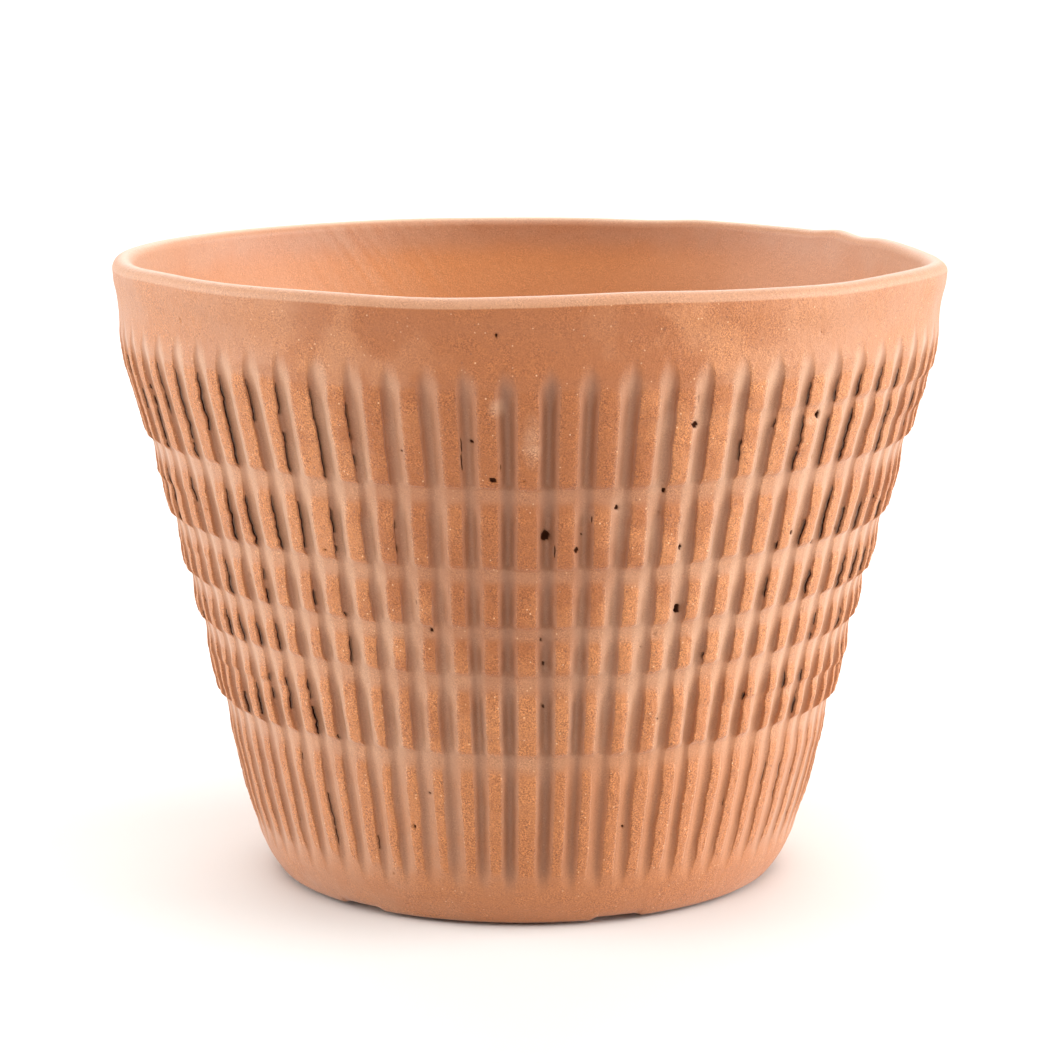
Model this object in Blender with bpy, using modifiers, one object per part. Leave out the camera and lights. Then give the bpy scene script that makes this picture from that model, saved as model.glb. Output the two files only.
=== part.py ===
"""A fluted terracotta plant pot: one hand-thrown piece of fired clay, standing on a notched foot ring.

Metres, +Z up. The origin is on the surface the pot stands on, below the centre of its rim.
"""

import math

import bmesh
import bpy

# Overall size
HEIGHT = 0.1241
RIM_RADIUS = 0.0825
FOOT_RADIUS = 0.0488
LEAN = 0.001  # how far the rim's centre sits towards +X from the foot's centre

# Outer wall, between the lower and the upper ends of the flutes
FLUTE_BOTTOM = 0.009
FLUTE_TOP = 0.109
WALL_FOOT_RADIUS = 0.0545
WALL_RIM_RADIUS = 0.0810
WALL_BOW = 0.135  # how far the wall's line bows inwards, as a share of its spread

# Throwing rings: where a finger pressed the wall in, and how far each tier between two rings swells out
RING_HEIGHTS = (FLUTE_BOTTOM, 0.035, 0.050, 0.0595, 0.072, 0.0865, FLUTE_TOP)
TIER_SWELLS = (0.0007, 0.0011, 0.0008, 0.0009, 0.0009, 0.0008)
TIER_ROWS = 2
ROW_SKEW = 1.5  # above 1, so that a tier's rows crowd towards its lower edge
SWELL_SKEW = 0.6  # below 1, so that a tier is fullest near its lower edge

# Flutes
FLUTES = 70
FLUTE_COLUMNS = 3  # of the turned wall: the rib's two edges, and the flute's bottom
FLUTE_PHASE = math.radians(2.7)
FLUTE_DEPTH = 0.0012
FLUTE_RUNOUT = 0.003
RING_SHARE = 0.4  # how much of a flute's depth is left on a throwing ring
RIB_SHARE_BOTTOM = 0.52  # a rib's width, as a share of one rib and one flute together
RIB_SHARE_TOP = 0.62

# Rim and lip
WAIST_HEIGHT = 0.1135
WAIST_RADIUS = 0.0812
FLARE_HEIGHT = 0.1195
FLARE_RADIUS = 0.0823
LIP_RADIUS = 0.002  # each edge of the lip is a quarter round of this radius
LIP_FLAT = 0.0001
LIP_STEPS = 2
LIP_INNER_START = 100  # degrees: past the top, so that the hollow crosses the lip's flat squarely

# Inside
FLOOR_TOP = 0.0085
FLOOR_FILLET = 0.008
WALL_THICK_FOOT = 0.0070
WALL_THICK_RIM = 0.0050
INNER_STEPS = 56
INNER_ROWS = 3
FILLET_STEPS = 2

# Foot and drainage
FOOT_CORNER = (0.0521, 0.0038)  # radius and height of the foot ring's outer corner
RECESS_DEPTH = 0.002
RECESS_RADIUS = 0.0395
RECESS_MOUTH_RADIUS = 0.041
DRAIN_RADIUS = 0.007
ROUND_STEPS = 48
NOTCH_WIDTH = 0.0105
NOTCH_DEPTH = 0.0006
NOTCH_BARS = 3  # each bar cuts a notch on both sides of the foot ring
NOTCH_PHASE = math.radians(-69.5)

CUT_PAST = 0.002  # how far a cutter runs past the face that it opens
MERGE = 0.00001
TERRACOTTA = (0.46, 0.21, 0.12, 1.0)


def clear_scene():
    for old in list(bpy.data.objects):
        bpy.data.objects.remove(old, do_unlink=True)


def new_collection(name):
    collection = bpy.data.collections.new(name)
    bpy.context.scene.collection.children.link(collection)
    return collection


def clay_material():
    material = bpy.data.materials.new("fired_terracotta")
    material.use_nodes = True
    shader = material.node_tree.nodes["Principled BSDF"]
    shader.inputs["Base Color"].default_value = TERRACOTTA
    shader.inputs["Roughness"].default_value = 0.9
    shader.inputs["Metallic"].default_value = 0.0
    material.diffuse_color = TERRACOTTA
    return material


def blend(low, high, share):
    return low + (high - low) * share


def wall_share(z):
    """How far up the fluted wall a height is, from 0 to 1."""
    return min(max((z - FLUTE_BOTTOM) / (FLUTE_TOP - FLUTE_BOTTOM), 0.0), 1.0)


def wall_line(z):
    """The outer wall's radius on the throwing rings, before the tiers between them swell."""
    share = wall_share(z)
    return blend(WALL_FOOT_RADIUS, WALL_RIM_RADIUS, share - WALL_BOW * share * (1 - share))


def tier_of(z):
    return sum(z >= ring for ring in RING_HEIGHTS[1:-1])


def fullness(z):
    """How swollen the wall is at a height: 0 on a throwing ring, and 1 where its tier is fullest."""
    low, high = RING_HEIGHTS[tier_of(z) : tier_of(z) + 2]
    up = min(max((z - low) / (high - low), 0.0), 1.0)
    return math.sin(math.pi * up**SWELL_SKEW)


def wall_radius(z):
    """The outer wall's radius at the tops of the ribs."""
    return wall_line(z) + TIER_SWELLS[tier_of(z)] * fullness(z)


def wall_heights():
    """The rows of the fluted wall, from top to bottom."""
    heights = {FLUTE_BOTTOM, FLUTE_BOTTOM + FLUTE_RUNOUT, FLUTE_TOP - FLUTE_RUNOUT, FLUTE_TOP}
    for low, high in zip(RING_HEIGHTS, RING_HEIGHTS[1:]):
        shares = [(row / TIER_ROWS) ** ROW_SKEW for row in range(1, TIER_ROWS + 1)]
        heights.update(blend(low, high, share) for share in shares)
    return sorted(heights, reverse=True)


def lip_arc(centre_radius, first, last):
    """Points round one of the lip's edges, between two angles in degrees from the outward direction."""
    points = []
    for step in range(LIP_STEPS + 1):
        angle = math.radians(blend(first, last, step / LIP_STEPS))
        radius = centre_radius + LIP_RADIUS * math.cos(angle)
        points.append((radius, HEIGHT - LIP_RADIUS + LIP_RADIUS * math.sin(angle)))
    return points


def outer_outline():
    """Half of the pot's outside, from the axis at the top to the axis at the bottom."""
    outline = [(0.0, HEIGHT)]
    outline += lip_arc(RIM_RADIUS - LIP_RADIUS, 90, 0)
    outline.append((FLARE_RADIUS, FLARE_HEIGHT))
    outline.append((WAIST_RADIUS, WAIST_HEIGHT))
    outline += [(wall_radius(z), z) for z in wall_heights()]
    outline.append(FOOT_CORNER)
    outline.append((FOOT_RADIUS, 0.0))
    outline.append((0.0, 0.0))
    return outline


def inner_radius(z):
    return wall_line(z) - blend(WALL_THICK_FOOT, WALL_THICK_RIM, wall_share(z))


def floor_fillet(top):
    """The quarter round from the inside wall down to the floor."""
    centre = inner_radius(top) - FLOOR_FILLET
    points = []
    for step in range(1, FILLET_STEPS + 1):
        angle = math.radians(90 * step / FILLET_STEPS)
        radius = centre + FLOOR_FILLET * math.cos(angle)
        points.append((radius, top - FLOOR_FILLET * math.sin(angle)))
    return points


def inner_outline():
    """Half of the pot's hollow, from the axis above the rim to the axis on the floor."""
    lip = lip_arc(RIM_RADIUS - LIP_RADIUS - LIP_FLAT, LIP_INNER_START, 180)
    wall_end = FLOOR_TOP + FLOOR_FILLET
    outline = [(0.0, HEIGHT + CUT_PAST), (lip[0][0], HEIGHT + CUT_PAST)]
    outline += lip
    for row in range(INNER_ROWS + 1):
        z = blend(FLUTE_TOP, wall_end, row / INNER_ROWS)
        outline.append((inner_radius(z), z))
    outline += floor_fillet(wall_end)
    outline.append((0.0, FLOOR_TOP))
    return outline


def lean_over(mesh):
    """Shears a mesh, so that the rim stays centred on the origin and the foot steps back from it."""
    for vertex in mesh.vertices:
        vertex.co.x += LEAN * (vertex.co.z / HEIGHT - 1)


def place(name, mesh, collection):
    placed = bpy.data.objects.new(name, mesh)
    collection.objects.link(placed)
    return placed


def turned_mesh(name, outline, steps):
    """A solid of revolution, from an outline that starts and ends on the axis."""
    profile = bpy.data.meshes.new(name + "_profile")
    edges = [(i, i + 1) for i in range(len(outline) - 1)]
    profile.from_pydata([(radius, 0.0, z) for radius, z in outline], edges, [])
    lathe = place(name + "_profile", profile, bpy.context.scene.collection)
    screw = lathe.modifiers.new("Turn", "SCREW")
    screw.axis = "Z"
    screw.steps = steps
    screw.render_steps = steps
    screw.use_merge_vertices = True
    screw.merge_threshold = MERGE
    graph = bpy.context.evaluated_depsgraph_get()
    mesh = bpy.data.meshes.new_from_object(lathe.evaluated_get(graph))
    mesh.name = name
    bpy.data.objects.remove(lathe, do_unlink=True)
    return mesh


def flute_depth(z):
    """A flute runs out to nothing at both ends, and is shallower where a throwing ring crosses it."""
    runout = min((z - FLUTE_BOTTOM) / FLUTE_RUNOUT, (FLUTE_TOP - z) / FLUTE_RUNOUT, 1.0)
    return FLUTE_DEPTH * max(runout, 0.0) * blend(RING_SHARE, 1.0, fullness(z))


def cut_flutes(mesh):
    """Moves the turned columns sideways to the ribs' edges, and in to the flutes' bottoms."""
    pitch = 2 * math.pi / FLUTES
    for vertex in mesh.vertices:
        x, y, z = vertex.co
        radius = math.hypot(x, y)
        if radius < MERGE:
            continue
        column = round(math.atan2(y, x) / (pitch / FLUTE_COLUMNS))
        half_rib = blend(RIB_SHARE_BOTTOM, RIB_SHARE_TOP, wall_share(z)) / 2
        flute, place_in_flute = divmod(column, FLUTE_COLUMNS)
        across = (-half_rib, half_rib, 0.5)[place_in_flute]
        if across == 0.5:
            radius -= flute_depth(z)
        angle = FLUTE_PHASE + pitch * (flute + across)
        vertex.co.x = radius * math.cos(angle)
        vertex.co.y = radius * math.sin(angle)


def primitive(name, collection, build, **sizes):
    """A bmesh primitive as a new object, built by one of bmesh's create functions."""
    shape = bmesh.new()
    build(shape, **sizes)
    mesh = bpy.data.meshes.new(name)
    shape.to_mesh(mesh)
    shape.free()
    return place(name, mesh, collection)


def hollow_cutter(cutters):
    mesh = turned_mesh("hollow_cutter", inner_outline(), INNER_STEPS)
    lean_over(mesh)
    return place("hollow_cutter", mesh, cutters)


def recess_cutter(cutters):
    """A shallow tapered disc that leaves the foot ring standing round it."""
    slope = (RECESS_MOUTH_RADIUS - RECESS_RADIUS) / RECESS_DEPTH
    cutter = primitive(
        "recess_cutter",
        cutters,
        bmesh.ops.create_cone,
        cap_ends=True,
        segments=ROUND_STEPS,
        radius1=RECESS_MOUTH_RADIUS + slope * CUT_PAST,
        radius2=RECESS_RADIUS,
        depth=RECESS_DEPTH + CUT_PAST,
    )
    cutter.location = (-LEAN, 0.0, (RECESS_DEPTH - CUT_PAST) / 2)
    return cutter


def drain_cutter(cutters):
    cutter = primitive(
        "drain_cutter",
        cutters,
        bmesh.ops.create_cone,
        cap_ends=True,
        segments=ROUND_STEPS,
        radius1=DRAIN_RADIUS,
        radius2=DRAIN_RADIUS,
        depth=FLOOR_TOP + 2 * CUT_PAST,
    )
    cutter.location = (-LEAN, 0.0, FLOOR_TOP / 2)
    return cutter


def notch_cutters(cutters):
    """Flat bars across the whole foot, each of which opens the foot ring on two sides."""
    bars = []
    for index in range(NOTCH_BARS):
        bar = primitive(f"notch_cutter_{index + 1}", cutters, bmesh.ops.create_cube, size=1.0)
        bar.scale = (2 * FOOT_RADIUS + 4 * CUT_PAST, NOTCH_WIDTH, 2 * NOTCH_DEPTH)
        bar.location = (-LEAN, 0.0, 0.0)
        bar.rotation_euler = (0.0, 0.0, NOTCH_PHASE + math.pi * index / NOTCH_BARS)
        bars.append(bar)
    return bars


def cut(target, cutter):
    cutter.hide_render = True
    cutter.display_type = "WIRE"
    boolean = target.modifiers.new(cutter.name, "BOOLEAN")
    boolean.operation = "DIFFERENCE"
    boolean.solver = "EXACT"
    boolean.object = cutter


def build_pot(parts, cutters):
    mesh = turned_mesh("fluted_pot", outer_outline(), FLUTE_COLUMNS * FLUTES)
    cut_flutes(mesh)
    lean_over(mesh)
    mesh.shade_smooth()
    mesh.materials.append(clay_material())
    pot = place("fluted_pot", mesh, parts)
    for cutter in [hollow_cutter(cutters), recess_cutter(cutters), drain_cutter(cutters)]:
        cut(pot, cutter)
    for cutter in notch_cutters(cutters):
        cut(pot, cutter)


def main():
    clear_scene()
    build_pot(new_collection("terracotta_pot"), new_collection("cutters"))


main()
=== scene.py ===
"""The looks of a fluted terracotta pot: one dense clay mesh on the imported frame, its material, and a studio.

The frame is in metres. The mesh is worked out in millimetres, and is scaled when it is made. Angles are
measured from the pot's front, -Y, and grow towards +X. A flute is one cut groove, and a rib is the clay left
standing between two. A throwing ring is a level groove from the potter's fingers, and a tier is the wall
between two rings. The mesh is a grid: its rows follow the section round from the lip, and its columns go
round the pot. Each point has shares, stored as attributes, that the material mixes its colours by.
"""

import math

import bpy
import numpy as np
from mathutils import Matrix, Vector


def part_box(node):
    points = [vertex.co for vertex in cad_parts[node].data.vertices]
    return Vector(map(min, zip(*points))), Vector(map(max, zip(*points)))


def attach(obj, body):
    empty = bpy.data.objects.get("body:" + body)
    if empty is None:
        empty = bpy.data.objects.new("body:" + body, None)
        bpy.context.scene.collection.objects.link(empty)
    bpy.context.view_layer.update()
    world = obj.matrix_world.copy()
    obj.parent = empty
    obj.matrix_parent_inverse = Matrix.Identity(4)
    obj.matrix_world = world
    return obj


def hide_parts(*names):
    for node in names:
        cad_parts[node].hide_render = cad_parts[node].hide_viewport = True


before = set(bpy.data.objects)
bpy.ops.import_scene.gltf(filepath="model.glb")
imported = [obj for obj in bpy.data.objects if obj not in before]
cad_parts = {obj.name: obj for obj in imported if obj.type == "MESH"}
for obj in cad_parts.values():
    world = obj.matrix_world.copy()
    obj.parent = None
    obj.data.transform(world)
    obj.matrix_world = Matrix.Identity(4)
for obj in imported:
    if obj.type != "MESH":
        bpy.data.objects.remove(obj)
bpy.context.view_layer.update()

MM = 0.001
NODE = "fluted_pot"

# Overall sizes, from the frame
pot_low, pot_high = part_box(NODE)
HEIGHT = (pot_high[2] - pot_low[2]) / MM
RIM = (pot_high[0] - pot_low[0]) / MM / 2
LEAN = 1.0  # the foot's centre is this far towards -X from the rim's

# The turned section, as (radius, height). The wall's line is the one that the throwing rings lie on.
FLUTE_BOTTOM, FLUTE_TOP = 9.0, 110.5
WALL_LOW, WALL_HIGH = (54.5, 9.0), (81.0, 109.0)
WALL_BOW = 0.135
LIP = 2.0
RIM_BAND = (
    (RIM, HEIGHT - LIP),
    (RIM - 0.3, 119.5),
    (RIM - 0.9, 117.0),
    (RIM - 1.3, 114.0),
    (RIM - 1.4, 111.5),
)
FOOT = ((53.7, 7.0), (52.8, 5.0), (51.6, 3.0), (50.5, 1.5), (49.9, 0.9), (49.3, 0.6))
FOOT_UNDERCUT = ((49.3, 0.6), (48.4, 0.5), (46.6, 0.35), (45.8, 0.0))
RING_FACE = ((45.8, 0.0), (41.3, 0.0))
RECESS = ((41.3, 0.0), (40.8, 0.2), (40.2, 1.6), (39.2, 2.0))
UNDERSIDE = ((39.2, 2.0), (8.2, 2.0))
DRAIN = ((8.2, 2.0), (7.4, 2.3), (7.0, 3.0), (7.0, 7.4), (7.4, 8.2), (8.4, 8.5))
FLOOR = ((8.4, 8.5), (41.4, 8.5))
FILLET = 8.0
WALL_THICK_LOW, WALL_THICK_HIGH = 7.0, 5.0
FLOOR_TOP = FLOOR[0][1]
INNER_RIM = ((RIM - WALL_THICK_HIGH, 117.0), (RIM - 2.1 * LIP, HEIGHT - LIP))
OUTER_WALL_POINTS, INNER_WALL_POINTS = 21, 12
CURVE_STEPS = 24  # between two points of a curve

# The numbers of the section's stretches that are asked for by name
OUTER_WALL, FOOT_RECESS, INNER_FILLET, INNER_WALL, INNER_LIP, OUTER_LIP = 0, 2, 6, 7, 8, 9

# Throwing rings: the height of each valley's foot, and how far the tiers between them stand proud
RINGS = (9.0, 35.2, 51.2, 60.7, 72.2, 87.7, 110.0)
SWELLS = (0.7, 1.15, 0.9, 1.0, 1.05, 0.95)
LEDGE_LOW, LEDGE_HIGH = 0.6, 2.0  # a tier steps out between these heights above its lower ring
TIER_HEAD = 7.5  # the height over which it sinks back below its upper ring
FAINT_LEDGE, FAINT_HEAD = 1.1, 4.0  # the same two for a faint ring
RING_TILT, RING_WAVE, RING_JITTER = 0.6, 0.25, 0.3  # how far the rings wander up and down, in three ways

# The seed of each kind of unevenness. Where a rib's two edges differ, its side, -1 or 1, is added.
FLUTE_PLACE_SEED, FLUTE_DRIFT_SEED, GROOVE_WIDTH_SEED, GROOVE_WAIST_SEED = 11, 12, 13, 14
RING_SEED, SWELL_SEED, FLUTE_TOP_SEED, FLUTE_BOTTOM_SEED = 15, 16, 17, 18
TEAR_SEED, TEAR_BREAK_SEED, STRONG_TEAR_SEED, TEAR_WIDTH_SEED = 19, 23, 31, 32
PIT_SEED, PIT_EDGE_SEED = 41, 42
GROOVE_DEPTH_SEED, TORN_SEED, QUIET_SEED = 51, 52, 53
EDGE_SEED, BEND_SEED = 61, 65
WALL_SEED, KILN_SEED, WIPED_SEED, CLOUD_SEED, SMEAR_SEED = 71, 72, 73, 74, 81

# Flutes
FLUTES = 70
SEAM_TOP, SEAM_BOTTOM = math.radians(5.6), math.radians(6.7)  # where the last flute meets the first
FLUTE_SCATTER, FLUTE_DRIFT = math.radians(0.28), math.radians(0.22)
GROOVE_HALF_TOP, GROOVE_HALF_BOTTOM = 1.62, 1.35
GROOVE_SKEW = 0.6  # how far a groove's depth leans towards the torn edge beside it
SHALLOW, DEEP = 0.55, 1.5  # a groove's depth on a ring, and how much of a tier's swell is added to it
EDGE_ZONE = 0.36  # half the width of the fine columns at a rib's edge
LOWEST_TIER = (29, 39)  # the heights between which the lowest tier's plainer flutes turn into the rest
OVERHANG = 0.15  # how far a torn edge reaches over its slit, times the tangent of its angle
MOST_TANGENT = 0.6
GROOVE_UNDERCUT = 1.15  # how far the groove reaches in below a rib's torn side, times the same tangent
UNDERCUT_SHARES = (0.7, 1.0, 0.7, 0.35)  # the part of that which each of the next columns moves
TEAR_DEPTH, TEAR_LIP = 1.1, 0.1  # how deep a slit is, and how far its edge stands up
FEW_TEARS_TO, FEWER_TEARS_TO = (48, 54), (30, 37)  # the heights between which tears grow commoner
TEAR_LENGTH, TEAR_BREAK = 5.5, 1.5  # the sizes of the noise that tears come from
TEAR_TO_RIB, TEAR_CATCH = 2.5, 2.6  # degrees from a strong tear to its rib's middle, and the most it may miss
COLUMN_STEPS = (3, 4, 6, 4, 3)  # half a flute, an edge, the rib, its other edge, half a flute
LEFT_EDGE, RIGHT_EDGE = 5, 15  # the columns on a rib's two edges

# Weaker rings, on one side of the pot each: height, strength, angle in degrees, half width in degrees
FAINT_RINGS = (
    (101.0, 0.8, 52.0, 32.0),
    (94.5, 0.45, 70.0, 16.0),
    (81.0, 0.4, 24.0, 20.0),
    (80.5, 0.45, -74.0, 18.0),
    (67.5, 0.45, -70.0, 18.0),
    (67.0, 0.3, 10.0, 26.0),
    (45.0, 0.55, -55.0, 24.0),
    (43.5, 0.6, 54.0, 28.0),
    (39.5, 0.35, 0.0, 22.0),
    (99.0, 0.6, 160.0, 40.0),
    (80.0, 0.5, 205.0, 36.0),
    (44.0, 0.6, 150.0, 50.0),
)

# Where the clay tore along a rib's edge: angle in degrees, height, half length, strength
STRONG_TEARS = (
    (-29.0, 98.0, 11.0, 1.0),
    (-23.8, 98.0, 8.0, 0.6),
    (-39.0, 103.0, 5.0, 0.9),
    (-44.0, 92.0, 5.0, 0.8),
    (-49.0, 103.0, 4.0, 0.9),
    (-54.0, 104.0, 5.0, 1.0),
    (-60.0, 102.0, 6.0, 0.9),
    (-34.0, 80.0, 6.0, 0.9),
    (-44.0, 78.0, 6.0, 1.0),
    (-29.0, 79.0, 5.0, 0.8),
    (-18.0, 79.0, 4.0, 0.7),
    (-8.0, 95.0, 3.5, 0.7),
    (38.0, 106.0, 4.0, 0.7),
    (43.0, 104.0, 5.0, 0.8),
    (48.0, 98.0, 6.0, 0.8),
    (58.0, 100.0, 6.0, 0.9),
)

# Pits where grit or air burst out of the clay: angle in degrees, height, radius
PITS = (
    (2.5, 79.6, 1.25),
    (7.0, 77.0, 0.7),
    (12.5, 84.7, 0.75),
    (19.2, 87.7, 0.6),
    (22.4, 99.8, 0.8),
    (22.7, 76.5, 0.7),
    (23.9, 64.4, 1.0),
    (42.5, 99.6, 0.9),
    (42.8, 76.8, 0.8),
    (49.0, 73.9, 0.6),
    (-7.7, 97.6, 0.6),
    (-4.9, 90.4, 0.7),
    (-0.7, 90.4, 0.5),
    (2.2, 59.3, 0.5),
    (2.6, 54.5, 0.5),
    (2.7, 45.9, 0.5),
    (-17.2, 95.6, 0.4),
    (-19.7, 92.5, 0.4),
    (-15.2, 60.9, 0.5),
    (-18.0, 27.7, 0.45),
    (41.0, 115.5, 0.35),
)
SMALL_PITS, SMALL_PIT_HEIGHTS, SMALL_PIT_SIZES = 90, (10, 121), (0.22, 0.5)
PIT_DEPTH = 1.1

# The rim's unevenness: angle in degrees, width in degrees, height, and how far it stands out
RIM_WAVES = (
    (-13.0, 11.0, -0.5, 0.1),
    (14.0, 9.0, 0.4, -0.1),
    (44.0, 9.0, -0.3, 0.0),
    (-58.0, 10.0, 0.35, 0.0),
    (94.0, 20.0, -1.4, 0.0),
    (120.0, 3.6, -0.55, -0.2),
    (126.0, 2.5, 0.2, 0.4),
    (131.0, 3.0, -0.25, 0.0),
    (137.0, 7.0, -0.3, 0.0),
    (153.0, 4.0, 0.2, 0.0),
    (162.0, 7.0, -0.22, 0.0),
    (200.0, 14.0, 0.15, 0.0),
)
WAVE_BOTTOM, PUSH_BOTTOM = 96.0, 112.0  # the waves' rise and push don't reach below these heights

# Foot notches
NOTCHES, NOTCH_ANGLE, NOTCH_HALF = 6, math.radians(20.5), math.radians(5.6)
NOTCH_LIFT, NOTCH_TOP = 0.6, 3.0  # how deep a notch is, and the height at which it has faded out

# Unevenness: of the whole wall, and of the fine throwing marks inside, whose pitch is 2 pi times theirs
WALL_UNEVEN = 0.22
THROWING_MARK, THROWING_PITCH = 0.12, 1.9
RIM_WORN_AND_LIT = 1.0  # the height of the rim's pale part, partly wear and partly painted highlight

# Mesh spacing along the section
WALL_SPACING, PLAIN_SPACING, LIP_SPACING = 0.42, 1.6, 0.3
RECESS_SPACING, DRAIN_SPACING = 0.6, 0.7

# Pale smears of lime: angle in degrees, height, half width, half height
SMEARS = (
    (0.5, 98.0, 2.6, 6.5),
    (-4.0, 104.0, 2.0, 3.0),
    (42.0, 98.5, 3.5, 2.0),
    (63.0, 44.0, 2.5, 2.0),
    (52.0, 43.5, 1.6, 1.2),
    (165.0, 70.0, 4.0, 6.0),
    (-120.0, 40.0, 5.0, 3.0),
)

# Where the clay is coloured, and where painted shade and light lie on it: (angle, width) in degrees, and the
# heights between which it starts or stops
FLASHED_AT, FLASHED_TO = (22, 42), (28, 78)
# painted shade: a band across the pot's front, where less light falls, darkened with the smoke colour
FRONT_SHADE_AT, FRONT_SHADE_FROM, FRONT_SHADE_DEEPEST_FROM = (-2, 24), (20, 50), (84, 96)
WIPED_AT, WIPED_FROM = (-155, 11), (60, 80)
# the far side: there the inside gets painted light and the rim a painted highlight
FAR_SIDE, FAR_SIDE_TO, INSIDE_FLASHED_TO = (185, 55), (114, 121), (112, 122)
PALE_RINGS_FROM, PALE_RINGS_TO, EVEN_FROM = (14, 30), (100, 106), (94, 108)

# Clay colours
CLAY_SKIN = (0.47, 0.21, 0.104, 1.0)
CLAY_TORN = (0.54, 0.2, 0.065, 1.0)
# partly painted shade: a darker burnish colour laid in the grooves for the shade that falls in them
CLAY_BURNISH_AND_SHADE = (0.235, 0.1, 0.05, 1.0)
CLAY_FLASHED = (0.48, 0.165, 0.049, 1.0)
# smoke colour, also laid across the pot's front as painted shade
CLAY_SMOKED_AND_SHADE = (0.37, 0.108, 0.024, 1.0)
# pale clay for lime, ring valleys and the inside's clouds, also laid on as painted highlight and painted sheen
CLAY_PALE_AND_HIGHLIGHT = (0.67, 0.42, 0.27, 1.0)
# painted light: a brighter orange for the inside's far wall, standing for the light and bounce light on it
CLAY_LIT_INSIDE = (0.68, 0.27, 0.085, 1.0)
# painted shade: a near black colour for tear slits and pits
CLAY_HOLE_SHADE = (0.05, 0.014, 0.005, 1.0)
GRAIN_DARK = (0.5, 0.4, 0.34, 1.0)  # this and the next one multiply the clay's own colour
GRAIN_LIGHT = (1.5, 1.6, 1.55, 1.0)
GROG = (0.9, 0.58, 0.33, 1.0)
SOOT = (0.2, 0.07, 0.035, 1.0)
MOST_LAID_OVER = 0.85  # how much of the rest the grooves' burnish with painted shade, the inside's painted light and the pale clay with its painted highlights can cover

# Specks: their cells' size in millimetres, their colour, and the draw above which a cell has one
SPECKS = ((0.6, GROG, 0.96), (0.8, SOOT, 0.955))

# The sizes of the clay's unevenness, and the height of its grain, in millimetres
MOTTLE_SIZE, PATCH_SIZE, DENT_SIZE, GRAIN_SIZE = 9, 2.6, 1.3, 0.3
GRAIN_RELIEF = 0.22

# Camera and studio, in metres
CAMERA_PLACE = Vector((0.00024, -0.7, 0.1913))
CAMERA_PITCH, CAMERA_ROLL = math.radians(10.01), math.radians(-0.153)
CAMERA_LENS, CAMERA_SENSOR = 119.55, 36.0  # in millimetres
CAMERA_NEAR, CAMERA_FAR = 0.05, 50.0
FLOOR_SIZE = 40.0
FLOOR_WHITE = (0.78, 0.77, 0.75, 1.0)
BACKDROP = 1.05
WORLD_FRONT, WORLD_BACK = 0.15, 0.4
SOFT_LIGHTS = (
    # name, direction to it in degrees (angle, elevation), strength, how wide it is in degrees
    ("left_light", -92.0, 8.0, 3.7, 60.0),
    ("right_light", 88.0, 8.0, 5.7, 60.0),
    ("top_light", 5.0, 62.0, 1.85, 50.0),
    ("back_light", 180.0, 40.0, 2.0, 60.0),
)

# The map: each strip's lower edge and height. The first two hold the halves of the outside.
UV_STRIPS = ((0.63, 0.36), (0.26, 0.36), (0.115, 0.135), (0.01, 0.095))
UV_EDGE = 0.004

NOISE_CELLS = 256  # how many lumps of noise there are before it repeats
MIX_INPUTS, MIX_RESULT = (0, 6, 7), 2  # a Mix node's factor and two colours, and its mixed colour


def smooth(low, high, value):
    """A smooth step from 0 to 1. It falls instead of rising where low is above high."""
    share = np.clip((value - low) / (high - low), 0.0, 1.0)
    return share * share * (3 - 2 * share)


def bump(centre, width, value):
    """A smooth hill from 0 to 1, centred on a value."""
    return np.exp(-(((value - centre) / width) ** 2))


def turn_between(angle, centre):
    """The signed angle from a centre, between -pi and pi."""
    return (angle - centre + math.pi) % (2 * math.pi) - math.pi


def bump_round(angle, centre, width):
    """The same hill laid round the pot. Its centre and width are in degrees."""
    return bump(0.0, math.radians(width), turn_between(angle, math.radians(centre)))


def noise(x, y, seed, wrap=0):
    """Smooth noise from -1 to 1, with one lump to a unit. Along x it repeats after wrap units, if given."""
    size = wrap or NOISE_CELLS
    table = np.random.default_rng(seed).uniform(-1.0, 1.0, (size, NOISE_CELLS))
    x, y = np.broadcast_arrays(np.asarray(x, float), np.asarray(y, float))
    column, row = np.floor(x).astype(int), np.floor(y).astype(int)
    across, along = x - column, y - row
    across = across * across * (3 - 2 * across)
    along = along * along * (3 - 2 * along)
    left, right = column % size, (column + 1) % size
    low, high = row % NOISE_CELLS, (row + 1) % NOISE_CELLS
    start = table[left, low] * (1 - across) + table[right, low] * across
    end = table[left, high] * (1 - across) + table[right, high] * across
    return start * (1 - along) + end * along


def rough_noise(x, y, seed, wrap, octaves):
    """Noise with finer and weaker lumps added, each half the size of the last."""
    total, weight = 0.0, 0.0
    for octave in range(octaves):
        scale = 2**octave
        total = total + noise(x * scale, y * scale, seed + octave, wrap * scale) / scale
        weight += 1 / scale
    return total / weight


def noise_round(angle, lumps, up, seed, octaves=1):
    """Noise with this many lumps round the pot, so that it meets itself."""
    return rough_noise(angle * lumps / (2 * math.pi), up, seed, lumps, octaves)


def share_up(z):
    """How far up the wall a height is, from 0 to 1."""
    return np.clip((z - WALL_LOW[1]) / (WALL_HIGH[1] - WALL_LOW[1]), 0.0, 1.0)


def wall_line(z):
    """The radius of the outer wall at a height, on its throwing rings."""
    share = share_up(z)
    return WALL_LOW[0] + (WALL_HIGH[0] - WALL_LOW[0]) * (share - WALL_BOW * share * (1 - share))


def inner_line(z):
    """The radius of the inner wall at a height."""
    return wall_line(z) - (WALL_THICK_LOW + (WALL_THICK_HIGH - WALL_THICK_LOW) * share_up(z))


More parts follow.
